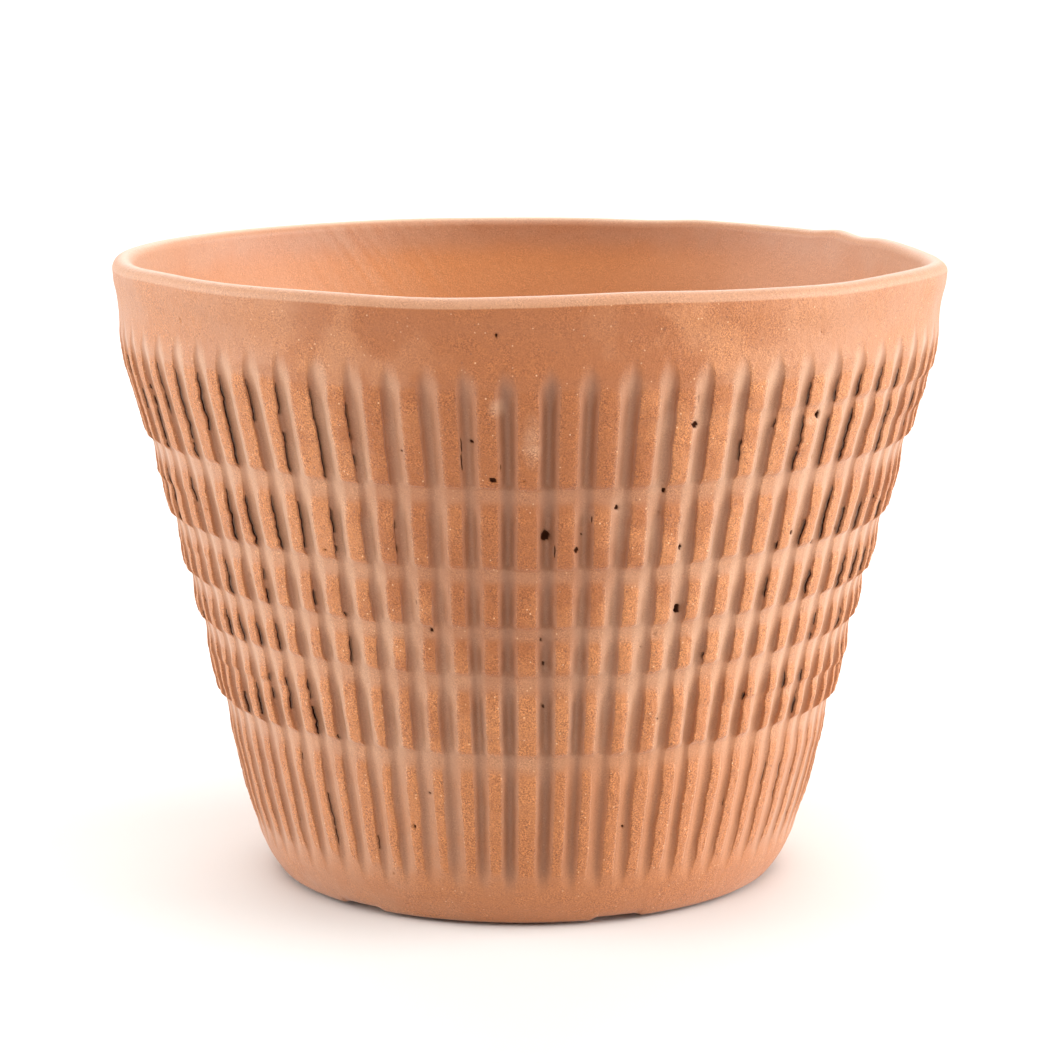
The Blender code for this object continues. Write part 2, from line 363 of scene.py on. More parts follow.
def curve_through(points, spacing):
    """Evenly spaced points along a Catmull-Rom curve through the given points."""
    points = np.array(points, float)
    padded = np.vstack([2 * points[0] - points[1], points, 2 * points[-1] - points[-2]])
    fine = []
    for before, start, end, after in zip(padded, padded[1:], padded[2:], padded[3:]):
        t = np.linspace(0, 1, CURVE_STEPS, endpoint=False)[:, None]
        bend = 2 * before - 5 * start + 4 * end - after
        twist = 3 * start - before - 3 * end + after
        fine.append(0.5 * (2 * start + (end - before) * t + bend * t**2 + twist * t**3))
    fine = np.vstack([*fine, points[-1:]])
    length = np.concatenate([[0], np.cumsum(np.hypot(*np.diff(fine, axis=0).T))])
    steps = max(int(round(length[-1] / spacing)), 1)
    stops = np.linspace(0, length[-1], steps + 1)
    return np.stack([np.interp(stops, length, fine[:, axis]) for axis in (0, 1)], axis=1)


def arc(centre, radius, first, last, spacing):
    steps = max(int(round(abs(math.radians(last - first)) * radius / spacing)), 2)
    angles = np.radians(np.linspace(first, last, steps + 1))
    return np.stack([centre[0] + radius * np.cos(angles), centre[1] + radius * np.sin(angles)], axis=1)


def section():
    """The closed section, from the outside of the lip, down, under, up the inside and over the lip.

    Returns its points, and for each the number of the stretch that it belongs to.
    """
    heights = np.linspace(WALL_HIGH[1], WALL_LOW[1], OUTER_WALL_POINTS)
    outer = [*RIM_BAND, *zip(wall_line(heights), heights), *FOOT]
    fillet_centre = (inner_line(FLOOR_TOP + FILLET) - FILLET, FLOOR_TOP + FILLET)
    inner_heights = np.linspace(FLOOR_TOP + FILLET, WALL_HIGH[1], INNER_WALL_POINTS)
    inner = [*zip(inner_line(inner_heights), inner_heights), *INNER_RIM]
    floor_end = (fillet_centre[0], FLOOR_TOP)
    undercut = curve_through(FOOT_UNDERCUT, RECESS_SPACING)
    stretches = [
        curve_through(outer, WALL_SPACING),
        np.vstack([undercut[:-1], curve_through(RING_FACE, PLAIN_SPACING)]),
        curve_through(RECESS, RECESS_SPACING),
        curve_through(UNDERSIDE, 2 * PLAIN_SPACING),
        curve_through(DRAIN, DRAIN_SPACING),
        curve_through((FLOOR[0], floor_end), 2 * PLAIN_SPACING),
        arc(fillet_centre, FILLET, -90, 0, PLAIN_SPACING),
        curve_through(inner, PLAIN_SPACING),
        arc((RIM - 1.1 * LIP, HEIGHT - LIP), LIP, 180, 90, LIP_SPACING),
        arc((RIM - LIP, HEIGHT - LIP), LIP, 90, 0, LIP_SPACING),
    ]
    points = np.vstack([stretch[:-1] for stretch in stretches])
    number = np.concatenate([np.full(len(stretch) - 1, i) for i, stretch in enumerate(stretches)])
    return points, number


def ring_wander(angle):
    """How far the throwing rings climb or dip round the pot."""
    slow = -RING_TILT * np.sin(angle) ** 2 + RING_WAVE * np.sin(3 * angle + 1.0)
    return slow + RING_JITTER * noise_round(angle, FLUTES, 0.5, RING_SEED)


def tiers(z, angle):
    """How full the tier is at each point, from 0 on a throwing ring to 1, and how far it stands proud."""
    level = z + ring_wander(angle)
    tier = np.clip(np.searchsorted(RINGS, level, side="right") - 1, 0, len(SWELLS) - 1)
    low, high = np.array(RINGS)[tier], np.array(RINGS)[tier + 1]
    head = np.minimum(TIER_HEAD, 0.6 * (high - low))
    full = smooth(low + LEDGE_LOW, low + LEDGE_HIGH, level) * (1 - smooth(high - head, high, level))
    full = full * smooth(FLUTE_BOTTOM - 1, FLUTE_BOTTOM + 9, level)
    faint = 0.0
    for height, depth, at, reach in FAINT_RINGS:
        above = level - height
        dip = np.where(above > 0, 1 - smooth(0.0, FAINT_LEDGE, above), 1 - smooth(0.0, FAINT_HEAD, -above))
        faint = np.maximum(faint, depth * bump_round(angle, at, reach) * dip)
    swell = np.array(SWELLS)[tier] * (1 + 0.2 * noise_round(angle, 40, tier + 0.5, SWELL_SEED))
    full = full * (1 - faint)
    return full, swell * full


def edges_of(z, radius):
    """Where each row's flutes are: the angles of their centres, and half their widths as angles."""
    up = np.clip((z - FLUTE_BOTTOM) / (FLUTE_TOP - FLUTE_BOTTOM), 0.0, 1.0)[:, None]
    number = np.arange(FLUTES + 1)[None, :]
    flute = number % FLUTES
    seam = SEAM_BOTTOM + (SEAM_TOP - SEAM_BOTTOM) * up
    pitch = (2 * math.pi - seam) / (FLUTES - 1)
    centre = seam / 2 + pitch * flute + 2 * math.pi * (number // FLUTES)
    height = z[:, None]
    centre = centre + FLUTE_SCATTER * noise(flute, 0.5, FLUTE_PLACE_SEED)
    centre = centre + FLUTE_DRIFT * noise(flute, height / 30, FLUTE_DRIFT_SEED)
    full, _ = tiers(height, centre)
    half = GROOVE_HALF_BOTTOM + (GROOVE_HALF_TOP - GROOVE_HALF_BOTTOM) * up
    waist = 0.06 * noise(flute, height / 9, GROOVE_WAIST_SEED)
    half = half * (1 + 0.1 * noise(flute, 0.5, GROOVE_WIDTH_SEED) + waist)
    half = half * (1.04 - 0.08 * full)
    return centre, half / radius[:, None]


def columns_of(z, radius, jag):
    """Where every row's columns are.

    The jag is how far the ribs' left and right edges stray, as angles. Returns each column's angle, how far
    across its flute it is (0 at the centre, 1 at the rib's edge), and which edge of the rib it is nearer to:
    -1 for the left one and 1 for the right one.
    """
    centre, half = edges_of(z, radius)
    jag_left, jag_right = jag
    zone = EDGE_ZONE / radius[:, None]
    stops = [
        centre[:, :-1],
        centre[:, :-1] + half[:, :-1] + jag_left - zone,
        centre[:, :-1] + half[:, :-1] + jag_left + zone,
        centre[:, 1:] - half[:, 1:] + jag_right - zone,
        centre[:, 1:] - half[:, 1:] + jag_right + zone,
        centre[:, 1:],
    ]
    angles = []
    for start, end, steps in zip(stops, stops[1:], COLUMN_STEPS):
        angles += [start + (end - start) * step / steps for step in range(steps)]
    angle = np.stack(angles, axis=2)
    from_left = (angle - centre[:, :-1, None]) / (half[:, :-1, None] + jag_left[:, :, None])
    from_right = (centre[:, 1:, None] - angle) / (half[:, 1:, None] - jag_right[:, :, None])
    return angle, np.minimum(from_left, from_right), np.where(from_left < from_right, -1.0, 1.0)


def flute_ends(z, flute):
    """1 along a flute, falling to 0 past its two ends, which don't all stop at the same height."""
    sideways = np.abs(np.sin(2 * math.pi * (flute + 0.5) / FLUTES))
    top = FLUTE_TOP + 0.4 + 1.8 * sideways + 0.8 * noise(flute, 0.5, FLUTE_TOP_SEED)
    bottom = FLUTE_BOTTOM + 0.5 * noise(flute, 0.5, FLUTE_BOTTOM_SEED)
    return smooth(bottom - 2.5, bottom + 4.0, z) * (1 - smooth(top - 4.2, top + 1.4, z))


def facing(angle, side):
    """1 where a rib's edge is the one nearer to the pot's front, which the tool tore, and else 0."""
    return smooth(0.05, 0.4, -side * np.sin(angle))


def tears(z, rib_angle, flute, side):
    """How torn a rib's edge is, from 0 to 1: side is -1 for its left edge and 1 for its right."""
    full, _ = tiers(z, rib_angle)
    chance = noise(flute, z / TEAR_LENGTH, TEAR_SEED + side)
    chance = chance + 0.3 * noise(flute, z / TEAR_BREAK, TEAR_BREAK_SEED + side)
    first = 0.28 if side > 0 else 0.45
    off_centre = smooth(first, first + 0.32, -side * np.sin(rib_angle))
    shy = 0.85 - 1.2 * off_centre
    shy = shy + 0.45 * (1 - smooth(*FEWER_TEARS_TO, z)) + 0.3 * (1 - smooth(*FEW_TEARS_TO, z))
    shy = shy + 0.35 * smooth(0.75, 0.95, np.abs(np.sin(rib_angle)))
    torn = smooth(0.0, 0.5, chance - shy)
    for angle, height, reach, strength in STRONG_TEARS:
        rib_at = math.radians(angle - TEAR_TO_RIB * side)
        near = np.abs(turn_between(rib_angle, rib_at)) < math.radians(TEAR_CATCH)
        if side * angle < 0:
            along = 1 - smooth(reach - 2.0, reach + 1.0, np.abs(z - height))
            broken = 0.8 + 0.2 * noise(flute, z / 1.3, STRONG_TEAR_SEED)
            torn = np.maximum(torn, near * strength * along * broken)
    return torn * smooth(0.3, 0.75, full) * (0.75 + 0.35 * noise(flute, z / 0.9, TEAR_WIDTH_SEED))


def pits(angle, z, radius):
    """How deep in a pit each point of the outer wall is: 1 is the middle of one at least 1 mm in radius."""
    draw = np.random.default_rng(PIT_SEED)
    spots = [(math.radians(at), height, size) for at, height, size in PITS]
    for _ in range(SMALL_PITS):
        at, height = draw.uniform(-math.pi, math.pi), draw.uniform(*SMALL_PIT_HEIGHTS)
        spots.append((at, height, draw.uniform(*SMALL_PIT_SIZES)))
    depth = np.zeros_like(angle)
    for at, height, size in spots:
        rows = np.abs(z[:, 0] - height) < 3 * size
        across = turn_between(angle[rows], at) * radius[rows]
        off = np.hypot(across, z[rows] - height) / size
        ragged = 1 + 0.3 * noise(angle[rows] * radius[rows] * 1.3, z[rows] * 1.3, PIT_EDGE_SEED)
        depth[rows] = np.maximum(depth[rows], (1 - smooth(0.35, 1.0, off * ragged)) * min(size, 1.0))
    return depth


def rim_waves(angle):
    """How far the rim rises and stands out round the pot."""
    height, out = np.zeros_like(angle), np.zeros_like(angle)
    for at, width, rise, push in RIM_WAVES:
        near = bump_round(angle, at, width)
        height += rise * near
        out += push * near
    return height, out


def notch_share(angle):
    """1 across a foot notch, and 0 away from it."""
    spacing = 2 * math.pi / NOTCHES
    off = np.abs((angle - NOTCH_ANGLE + spacing / 2) % spacing - spacing / 2)
    return 1 - smooth(NOTCH_HALF * 0.8, NOTCH_HALF * 1.15, off)


def groove_depth(angle, z, swell, aside, lowest):
    """How deep the grooves are cut: most at the pot's front, and less at its sides and in the lowest tier."""
    depth = SHALLOW + DEEP * swell + 0.1 * noise_round(angle, FLUTES, z / 14, GROOVE_DEPTH_SEED)
    depth = depth * (1.15 - 0.45 * aside) * (1 - 0.25 * smooth(0.6, 0.95, np.abs(np.sin(angle))))
    return depth * (1 - 0.25 * aside * lowest) * (1 - 0.35 * smooth(0.4, 0.85, np.sin(angle)) * lowest)


def cut_wall(angle, across, side, z, radius):
    """The fluted wall: the radius of every point, and its grit, groove and pale shares.

    Aside is 0 at the pot's front and back, and 1 from 20 degrees round from them. There a groove is deepest
    towards the rib edge that the tool tore, and darker on the same side with a burnish colour that is partly
    painted shade. It is pale where it rises to the other, which is a painted highlight on its lit flank.
    """
    flute = np.repeat(np.arange(FLUTES), sum(COLUMN_STEPS))[None, :]
    full, swell = tiers(z, angle)
    end = flute_ends(z, flute)
    sharp = facing(angle, side)
    lowest = 1 - smooth(*LOWEST_TIER, z)
    sideways = np.clip(np.sin(angle) / 0.35, -1.0, 1.0)
    aside = np.abs(sideways)

    taper = 0.62 + 0.18 * (z < 60)
    across = across / (taper + (1 - taper) * end)
    toward_tear = -np.sign(sideways) * side * across
    lopsided = 1 + GROOVE_SKEW * aside * np.clip(toward_tear, -1.0, 1.0)
    within = (1 - across**2) * lopsided
    rounding = 0.3 + 0.35 * aside * (1 - sharp) - 0.24 * sharp * full
    groove = ((within + np.sqrt(within**2 + rounding**2)) / 2) ** (0.95 - 0.35 * sharp * full)
    reach = 0.14 * sharp
    torn = smooth(0.04, 0.45, full) * smooth(1.04 - reach, 1.22 - reach, across) * smooth(0.1, 0.6, end)
    ragged = rough_noise(angle * RIM * 1.3, z * 1.5, TORN_SEED, 0, 2)
    cut = groove_depth(angle, z, swell, aside, lowest) * end * groove
    out = radius + swell - cut + 0.14 * torn * ragged

    band = 0.45 + 0.35 * noise_round(angle, 48, z / 7, QUIET_SEED, 2)
    quiet = band * (1 - np.clip(groove * end * 1.6, 0, 1)) * (1 - 0.7 * full * end)
    # painted highlight: the untorn rib shoulder and the groove flank facing the side light are paled for the
    # light on them
    shoulder = bump(1.0, 0.2, across) * (1 - sharp) * end * (0.3 + 0.7 * full)
    valley = (1 - smooth(0.0, 0.25, full)) * smooth(*PALE_RINGS_FROM, z) * (1 - smooth(*PALE_RINGS_TO, z))
    lit = smooth(0.6, -0.1, toward_tear) * (1 - smooth(1.05, 1.7, -toward_tear)) * end * aside
    lit = lit * (1 - 0.7 * lowest)
    pale = np.maximum(np.maximum(0.12 * shoulder, 0.45 * lit), 0.2 * valley * (1 - 0.6 * groove * end))
    grit = np.maximum(torn * (1 - 0.5 * lit), quiet)
    # painted shade, partly burnish: the groove is darkened all across at the front, and on its torn, shaded
    # side at the pot's sides
    burnish_and_shade = groove * end * (1 - aside * smooth(0.5, -0.2, toward_tear)) * (1 - 0.57 * aside)
    return out, grit, burnish_and_shade, pale


def open_tears(angle, out, z, rib_angles):
    """Opens a slit under each torn rib edge, and returns how dark each point is in one.

    The edge leans out over its slit, and the groove's floor reaches in below. Changes angle and out in place.
    """
    steps = sum(COLUMN_STEPS)
    flute = np.arange(FLUTES)[None, :]
    full, _ = tiers(z[:, :1], rib_angles)
    ends = flute_ends(z[:, :1], flute)
    turned = np.abs(np.sin(rib_angles))
    slope = np.minimum(np.abs(np.tan(rib_angles)), MOST_TANGENT)
    lean = OVERHANG * slope
    reach = slope * (1 - 0.6 * smooth(0.65, 0.95, turned)) * (0.25 + 0.75 * smooth(30, 42, z[:, :1]))
    dark = np.zeros_like(out)
    for side, edge in ((-1, LEFT_EDGE), (1, RIGHT_EDGE)):
        rib, brink, slit, beyond = (np.arange(FLUTES) * steps + edge + side * step for step in (-1, 0, 1, 2))
        torn = tears(z[:, :1], rib_angles, flute, side) * ends * (1 - 0.3 * smooth(0.6, 0.9, turned))
        under = side * reach * GROOVE_UNDERCUT * facing(rib_angles, side) * full * ends / out[:, brink]
        for step, share in enumerate(UNDERCUT_SHARES, 1):
            angle[:, brink + side * step] -= share * under
        width = side * torn / out[:, brink]
        angle[:, rib] += 0.15 * lean * width
        angle[:, brink] += (0.04 + 0.3 * lean) * width
        angle[:, slit] -= (0.06 + 0.7 * lean) * width
        angle[:, beyond] += (0.12 * torn**2 - 0.14) * width
        out[:, brink] += TEAR_LIP * torn
        out[:, slit] -= TEAR_DEPTH * torn
        # painted shade: the slit is darkened towards black
        dark[:, slit] = np.maximum(dark[:, slit], smooth(0.05, 0.5, torn))
    return dark


def smears(angle, z, radius):
    """How pale each point of the outer wall is where lime has come through the clay."""
    pale = np.zeros_like(angle)
    for at, height, wide, tall in SMEARS:
        off = np.hypot(turn_between(angle, math.radians(at)) * radius / wide, (z - height) / tall)
        pale = np.maximum(pale, 1 - smooth(0.2, 1.0, off))
    return pale * (0.4 + 0.35 * noise_round(angle, 180, z / 1.5, SMEAR_SEED, 2))


def stray_edges(z, radius, rib_angles):
    """How far the ribs' left and right edges stray from their lines, as angles."""
    flute = np.arange(FLUTES)[None, :]
    jag = []
    for side in (-1, 1):
        rag = 0.08 + 0.3 * tears(z[:, None], rib_angles, flute, side)
        along = rough_noise(flute, z[:, None] / 1.2, EDGE_SEED + side, 0, 2)
        bend = 0.2 * facing(rib_angles, side) * noise(flute, z[:, None] / 4, BEND_SEED + side)
        jag.append((rag * along + bend) / radius[:, None])
    return jag


def kiln_colour(angle, height, inside):
    """How the kiln coloured the clay: above 0 where its flashing turned it orange, and below 0 in random
    patches of smoke and in a band of painted shade across the pot's front.
    """
    flash_and_front_shade = bump_round(angle, *FLASHED_AT) * (1 - smooth(*FLASHED_TO, height))
    # painted shade: the pot's front is darkened where less light falls
    front_shade = bump_round(angle, *FRONT_SHADE_AT) * smooth(*FRONT_SHADE_FROM, height)
    flash_and_front_shade -= (0.7 + 0.3 * smooth(*FRONT_SHADE_DEEPEST_FROM, height)) * front_shade
    flash_and_front_shade += (0.3 - 0.25 * smooth(*EVEN_FROM, height)) * noise_round(angle, 8, height / 30, KILN_SEED, 2)
    flash_and_front_shade[inside] = 0.9 - 0.9 * smooth(*INSIDE_FLASHED_TO, height[inside])
    return np.clip(flash_and_front_shade, -1, 1)


def pale_inside(angle, height, far):
    """How pale the inside is: clouded all over, clearer at the far side and paler away from it as painted
    sheen, and with the streaks of a wipe.
    """
    clouded = noise_round(angle, 8, height / 22, CLOUD_SEED, 2)
    wiped_here = bump_round(angle, *WIPED_AT) * smooth(*WIPED_FROM, height)
    wiped = rough_noise((angle * RIM - 0.8 * height) / 1.6, height / 25, WIPED_SEED, 0, 2)
    return 0.3 - 0.2 * far + 0.15 * clouded + 0.35 * wiped * wiped_here


def pot_grid(points, stretch):
    """Every row and column of the pot: the points as angle, radius and height, and the shares."""
    radius, z = points[:, 0], points[:, 1]
    wall = stretch == OUTER_WALL
    level = np.where(wall | (stretch >= INNER_WALL), z, 0.0)
    flat = np.clip(level, FLUTE_BOTTOM, FLUTE_TOP)
    base = np.where(wall, radius, wall_line(flat))
    centre, _ = edges_of(flat, base)
    rib_angles = (centre[:, :-1] + centre[:, 1:]) / 2
    columns = columns_of(flat, base, stray_edges(flat, base, rib_angles))
    angle, across, side = (values.reshape(len(z), -1) for values in columns)
    height = np.repeat(z[:, None], angle.shape[1], axis=1)
    out = np.repeat(radius[:, None], angle.shape[1], axis=1)
    grit, groove, dark, pale = (np.zeros_like(out) for _ in range(4))
    grit += np.where(stretch == OUTER_LIP, 0.3, 0.12)[:, None]

    # The outer wall, its tears and its pits
    cut = cut_wall(angle[wall], across[wall], side[wall], height[wall], radius[wall, None])
    out[wall], grit[wall], groove[wall], pale[wall] = cut
    pale[wall] = np.maximum(pale[wall], smears(angle[wall], height[wall], radius[wall, None]))
    fluted = wall & (z > FLUTE_BOTTOM - 2) & (z < FLUTE_TOP + 2)
    opened_angle, opened_out = angle[fluted], out[fluted]
    dark[fluted] = open_tears(opened_angle, opened_out, height[fluted], rib_angles[fluted])
    angle[fluted], out[fluted] = opened_angle, opened_out
    pit = pits(angle[wall], height[wall], out[wall])
    out[wall] -= PIT_DEPTH * pit
    # painted shade: the pits are darkened
    dark[wall] = np.maximum(dark[wall], 0.9 * smooth(0.1, 0.6, pit))

    # The inside's throwing marks, and what is uneven in the whole pot
    inside = stretch >= INNER_FILLET
    marks = THROWING_MARK * np.sin(height / THROWING_PITCH + angle)
    marks = marks * smooth(16, 30, height) * (1 - smooth(105, 119, height))
    out[inside] += marks[inside]
    upper = wall | inside
    uneven = WALL_UNEVEN * noise_round(angle, 30, height / 14, WALL_SEED, 4) * smooth(4, 20, height)
    out[upper] += uneven[upper]
    lift, push = rim_waves(angle)
    near_rim = smooth(WAVE_BOTTOM, HEIGHT, height)
    out[upper] += (push * near_rim * smooth(PUSH_BOTTOM, HEIGHT, height))[upper]
    height[upper] += (lift * near_rim)[upper]
    low_edge = (stretch <= FOOT_RECESS) & (z < NOTCH_TOP)
    notch = NOTCH_LIFT * notch_share(angle) * (1 - smooth(0.3, NOTCH_TOP, height))
    height[low_edge] += notch[low_edge]

    # The colours of the kiln with painted shade across the front, of the inside with painted light and sheen,
    # and of the rim with its wear and a painted highlight
    far = bump_round(angle, *FAR_SIDE)
    pale[inside] = pale_inside(angle, height, far)[inside]
    # partly wear and partly painted highlight: the lip's top is paled, most at the far side where light
    # catches it
    worn_and_highlit = smooth(HEIGHT - RIM_WORN_AND_LIT, HEIGHT, height - lift * near_rim) * (stretch >= INNER_LIP)[:, None]
    pale = np.maximum(pale, worn_and_highlit * (0.35 + 0.65 * far))
    shares = {"grit": grit, "groove": groove, "dark": dark, "pale": pale}
    shares["flash_and_front_shade"] = kiln_colour(angle, height, inside)
    # painted light: the inside's far wall takes the brighter orange
    shares["inner"] = far * (1 - smooth(*FAR_SIDE_TO, height)) * inside[:, None]
    return angle, out, height, shares


def pot_uvs(stretch, points, columns):
    """UVs for every quad corner. The outside fills two strips, and the inside and the flat parts one each."""
    rows = len(stretch)
    run = np.hypot(*np.diff(np.vstack([points, points[:1]]), axis=0).T)
    lip = stretch >= INNER_LIP
    group = np.select([(stretch == OUTER_WALL) | lip, stretch >= INNER_FILLET], [0, 1], 2)
    order = np.roll(np.arange(rows), int(lip.sum()))
    top, bottom = np.zeros(rows), np.zeros(rows)
    for number in range(3):
        members = order[group[order] == number]
        ends = np.cumsum(run[members])
        top[members] = (ends - run[members]) / ends[-1]
        bottom[members] = ends / ends[-1]
    across = np.arange(columns)
    half = columns // 2
    uv = np.zeros((rows, columns, 4, 2), np.float32)
    low = np.array(UV_STRIPS)[:, 0]
    tall = np.array(UV_STRIPS)[:, 1]
    strip = np.where(group[:, None] == 0, (across >= half)[None, :] * 1, group[:, None] + 1)
    wide = np.where(group[:, None] == 0, half, columns)
    start = np.where((group[:, None] == 0) & (across >= half)[None, :], across - half, across[None, :])
    left = UV_EDGE + (1 - 2 * UV_EDGE) * start / wide
    right = UV_EDGE + (1 - 2 * UV_EDGE) * (start + 1) / wide
    high_v = low[strip] + tall[strip] * (1 - top[:, None])
    low_v = low[strip] + tall[strip] * (1 - bottom[:, None])
    for corner, (u, v) in enumerate(((left, high_v), (left, low_v), (right, low_v), (right, high_v))):
        uv[:, :, corner, 0] = u
        uv[:, :, corner, 1] = v
    return uv.reshape(-1, 2)


def make_pot():
    points, stretch = section()
    angle, out, height, shares = pot_grid(points, stretch)
    rows, columns = angle.shape
    lean = LEAN * (height / HEIGHT - 1)
    places = np.stack([out * np.sin(angle) + lean, -out * np.cos(angle), height], axis=2) * MM
    number = np.arange(rows * columns).reshape(rows, columns)
    below, beside = np.roll(number, -1, axis=0), np.roll(number, -1, axis=1)
    corners = np.stack([number, below, np.roll(below, -1, axis=1), beside], axis=2).reshape(-1)

    mesh = bpy.data.meshes.new("fluted_clay_pot")
    mesh.vertices.add(rows * columns)
    mesh.vertices.foreach_set("co", places.astype(np.float32).reshape(-1))
    mesh.loops.add(len(corners))
    mesh.loops.foreach_set("vertex_index", corners.astype(np.int32))
    mesh.polygons.add(rows * columns)
    mesh.polygons.foreach_set("loop_start", np.arange(0, len(corners), 4, dtype=np.int32))
    mesh.update(calc_edges=True)
    mesh.shade_smooth()
    for name, share in shares.items():
        layer = mesh.attributes.new(name, "FLOAT", "POINT")
        layer.data.foreach_set("value", share.astype(np.float32).reshape(-1))
    layer = mesh.uv_layers.new(name="OFBake")
    layer.uv.foreach_set("vector", pot_uvs(stretch, points, columns).reshape(-1))

    pot = bpy.data.objects.new("fluted_clay_pot", mesh)
    bpy.context.scene.collection.objects.link(pot)
    mesh.materials.append(clay_material())
    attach(pot, "root")
    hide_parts(NODE)


class Nodes:
    """Short ways to add and link shader nodes."""

    def __init__(self, tree):
        self.tree = tree

    def add(self, kind, inputs=(), **settings):
        node = self.tree.nodes.new(kind)
        for name, value in settings.items():
            setattr(node, name, value)
        for name, value in dict(inputs).items():
            self.put(value, node.inputs[name])
        return node

    def put(self, value, socket):
        """Links another node's output to the socket, or sets it to a plain value."""
        if isinstance(value, bpy.types.NodeSocket):
            self.tree.links.new(value, socket)
        else:
            socket.default_value = value

    def share(self, name):
        return self.add("ShaderNodeAttribute", attribute_name=name).outputs["Fac"]

    def noise(self, place, size_mm, detail=2.0, rough=0.5):
        inputs = {"Vector": place, "Scale": 1 / (size_mm * MM), "Detail": detail, "Roughness": rough}
        return self.add("ShaderNodeTexNoise", inputs).outputs["Fac"]

    def ramp(self, value, *stops):
        """A smooth remap: each stop is (value in, value out)."""
        node = self.add("ShaderNodeMapRange", {"Value": value}, interpolation_type="SMOOTHSTEP")
        node.inputs["From Min"].default_value, node.inputs["To Min"].default_value = stops[0]
        node.inputs["From Max"].default_value, node.inputs["To Max"].default_value = stops[1]
        return node.outputs["Result"]

    def math(self, operation, *values):
        node = self.add("ShaderNodeMath", operation=operation)
        for socket, value in zip(node.inputs, values):
            self.put(value, socket)
        return node.outputs["Value"]

    def mix(self, share, first, second, blend="MIX"):
        node = self.add("ShaderNodeMix", data_type="RGBA", blend_type=blend)
        for index, value in zip(MIX_INPUTS, (share, first, second)):
            self.put(value, node.inputs[index])
        return node.outputs[MIX_RESULT]


def clay_material():
    """Fired clay, whose colour, gloss and grain follow the mesh's shares."""
    material = bpy.data.materials.new("fired_terracotta")
    material.use_nodes = True
    tree = material.node_tree
    shader = tree.nodes["Principled BSDF"]
    nodes = Nodes(tree)
    place = nodes.add("ShaderNodeTexCoord").outputs["Object"]
    names = ("grit", "groove", "dark", "pale", "flash_and_front_shade", "inner")
    grit, groove, dark, pale, flash_and_front_shade, inner = (nodes.share(name) for name in names)

    # Large patches: skin, torn ribs, where the kiln's flashing and smoke coloured them, with painted shade
    # across the pot's front, and what lies over that: burnish with painted shade in the grooves, painted light
    # on the inside's far wall, and pale clay with painted highlights
    mottle = nodes.noise(place, MOTTLE_SIZE, 3.0)
    body = nodes.mix(grit, CLAY_SKIN, CLAY_TORN)
    flashed_and_shaded = nodes.math("ADD", flash_and_front_shade, nodes.ramp(mottle, (0.35, -0.25), (0.65, 0.25)))
    body = nodes.mix(nodes.ramp(flashed_and_shaded, (-0.1, 0.0), (0.8, 0.8)), body, CLAY_FLASHED)
    body = nodes.mix(nodes.ramp(flashed_and_shaded, (0.0, 0.0), (-0.8, 0.85)), body, CLAY_SMOKED_AND_SHADE)
    # Laid over: the grooves' burnish with painted shade, the inside's far wall with painted light, and pale
    # clay with painted highlights
    for share, colour in ((groove, CLAY_BURNISH_AND_SHADE), (inner, CLAY_LIT_INSIDE), (pale, CLAY_PALE_AND_HIGHLIGHT)):
        body = nodes.mix(nodes.math("MULTIPLY", share, MOST_LAID_OVER), body, colour)

    # Grains: fine light and dark ones all over, and scattered specks of grog and soot
    fine = nodes.noise(place, GRAIN_SIZE, 2.0, 0.7)
    patch = nodes.ramp(nodes.noise(place, PATCH_SIZE, 2.0), (0.38, 0.45), (0.62, 1.0))
    strength = nodes.math("MULTIPLY", nodes.ramp(grit, (0.0, 0.25), (1.0, 0.85)), patch)
    lighter = nodes.math("MULTIPLY", nodes.ramp(fine, (0.5, 0.0), (0.64, 1.0)), strength)
    darker = nodes.math("MULTIPLY", nodes.ramp(fine, (0.5, 0.0), (0.36, 1.0)), strength)
    body = nodes.mix(lighter, body, GRAIN_LIGHT, "MULTIPLY")
    body = nodes.mix(darker, body, GRAIN_DARK, "MULTIPLY")
    for size, colour, lowest in SPECKS:
        cells = nodes.add("ShaderNodeTexVoronoi", {"Vector": place, "Scale": 1 / (size * MM)})
        lot = nodes.add("ShaderNodeSeparateColor", {"Color": cells.outputs["Color"]}).outputs["Red"]
        chosen = nodes.math("GREATER_THAN", lot, lowest)
        near = nodes.ramp(cells.outputs["Distance"], (0.34, 0.0), (0.18, 1.0))
        speck = nodes.math("MULTIPLY", chosen, near)
        amount = nodes.math("MULTIPLY", speck, nodes.ramp(grit, (0.0, 0.1), (0.8, 0.7)))
        body = nodes.mix(amount, body, colour)
    # painted shade: slits and pits take a near black colour
    body = nodes.mix(nodes.ramp(dark, (0.15, 0.0), (0.6, 1.0)), body, CLAY_HOLE_SHADE)
    tree.links.new(body, shader.inputs["Base Color"])

    tree.links.new(nodes.ramp(grit, (0.0, 0.5), (1.0, 0.68)), shader.inputs["Roughness"])
    tree.links.new(nodes.ramp(dark, (0.0, 0.5), (0.7, 0.05)), shader.inputs["Specular IOR Level"])
    tree.links.new(nodes.ramp(dark, (0.0, 0.2), (0.55, 0.0)), shader.inputs["Sheen Weight"])
    shader.inputs["Sheen Roughness"].default_value = 0.5

    dents = nodes.math("MULTIPLY", nodes.noise(place, DENT_SIZE, 2.0), 1.6)
    rise = nodes.math("MULTIPLY", nodes.math("ADD", fine, dents), nodes.ramp(grit, (0.0, 0.25), (1.0, 1.0)))
    relief = nodes.add("ShaderNodeBump", {"Height": rise, "Strength": 0.7, "Distance": GRAIN_RELIEF * MM})
    tree.links.new(relief.outputs["Normal"], shader.inputs["Normal"])
    return material


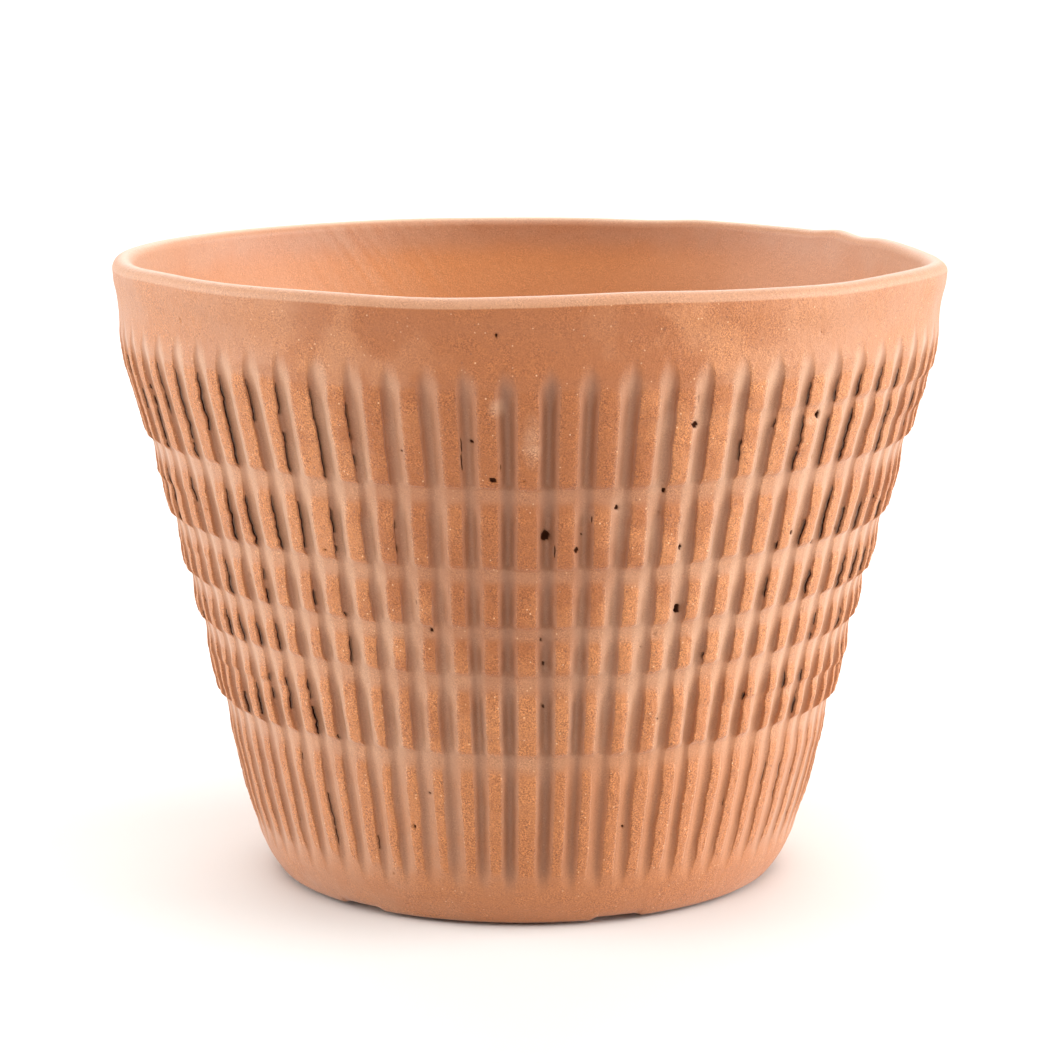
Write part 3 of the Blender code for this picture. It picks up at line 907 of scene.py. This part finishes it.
def soft_light(name, angle, elevation, strength, width):
    """A wide, even light from far away. Its angle is measured as the pot's are."""
    light = bpy.data.lights.new(name, "SUN")
    light.energy = strength
    light.angle = math.radians(width)
    lamp = bpy.data.objects.new(name, light)
    lamp.rotation_euler = (math.radians(90 - elevation), 0, math.radians(angle))
    bpy.context.scene.collection.objects.link(lamp)


def plain_material(name, colour, roughness):
    material = bpy.data.materials.new(name)
    material.use_nodes = True
    shader = material.node_tree.nodes["Principled BSDF"]
    shader.inputs["Base Color"].default_value = colour
    shader.inputs["Roughness"].default_value = roughness
    shader.inputs["Specular IOR Level"].default_value = 0.1
    return material


def stage_plane(name, size, material):
    mesh = bpy.data.meshes.new(name)
    wide, deep = size[0] / 2, size[1] / 2
    corners = [(-wide, -deep, 0), (wide, -deep, 0), (wide, deep, 0), (-wide, deep, 0)]
    mesh.from_pydata(corners, [], [(0, 1, 2, 3)])
    mesh.materials.append(material)
    plane = bpy.data.objects.new(name, mesh)
    bpy.context.scene.collection.objects.link(plane)


def make_world():
    """A white backdrop for the camera. As a light it is dim in front of the pot and bright behind it."""
    world = bpy.data.worlds.new("studio")
    world.use_nodes = True
    tree = world.node_tree
    nodes = Nodes(tree)
    place = nodes.add("ShaderNodeTexCoord").outputs["Generated"]
    direction = nodes.add("ShaderNodeSeparateXYZ", {"Vector": place})
    light = nodes.ramp(direction.outputs["Y"], (-0.7, WORLD_FRONT), (0.8, WORLD_BACK))
    seen = nodes.add("ShaderNodeLightPath").outputs["Is Camera Ray"]
    strength = nodes.math("MAXIMUM", light, nodes.math("MULTIPLY", seen, BACKDROP))
    tree.links.new(strength, tree.nodes["Background"].inputs["Strength"])
    tree.nodes["Background"].inputs["Color"].default_value = (1.0, 1.0, 1.0, 1.0)
    bpy.context.scene.world = world


def make_studio():
    stage_plane("floor", (FLOOR_SIZE, FLOOR_SIZE), plain_material("white_floor", FLOOR_WHITE, 0.9))
    make_world()
    for light in SOFT_LIGHTS:
        soft_light(*light)
    view = bpy.context.scene.view_settings
    view.view_transform = "Standard"
    view.look = "None"


def make_camera():
    data = bpy.data.cameras.new("camera")
    data.lens, data.sensor_width = CAMERA_LENS, CAMERA_SENSOR
    data.clip_start, data.clip_end = CAMERA_NEAR, CAMERA_FAR
    camera = bpy.data.objects.new("camera", data)
    turn = Matrix.Rotation(math.radians(90) - CAMERA_PITCH, 4, "X") @ Matrix.Rotation(CAMERA_ROLL, 4, "Z")
    camera.matrix_world = Matrix.Translation(CAMERA_PLACE) @ turn
    bpy.context.scene.collection.objects.link(camera)
    bpy.context.scene.camera = camera


make_studio()
make_camera()
make_pot()
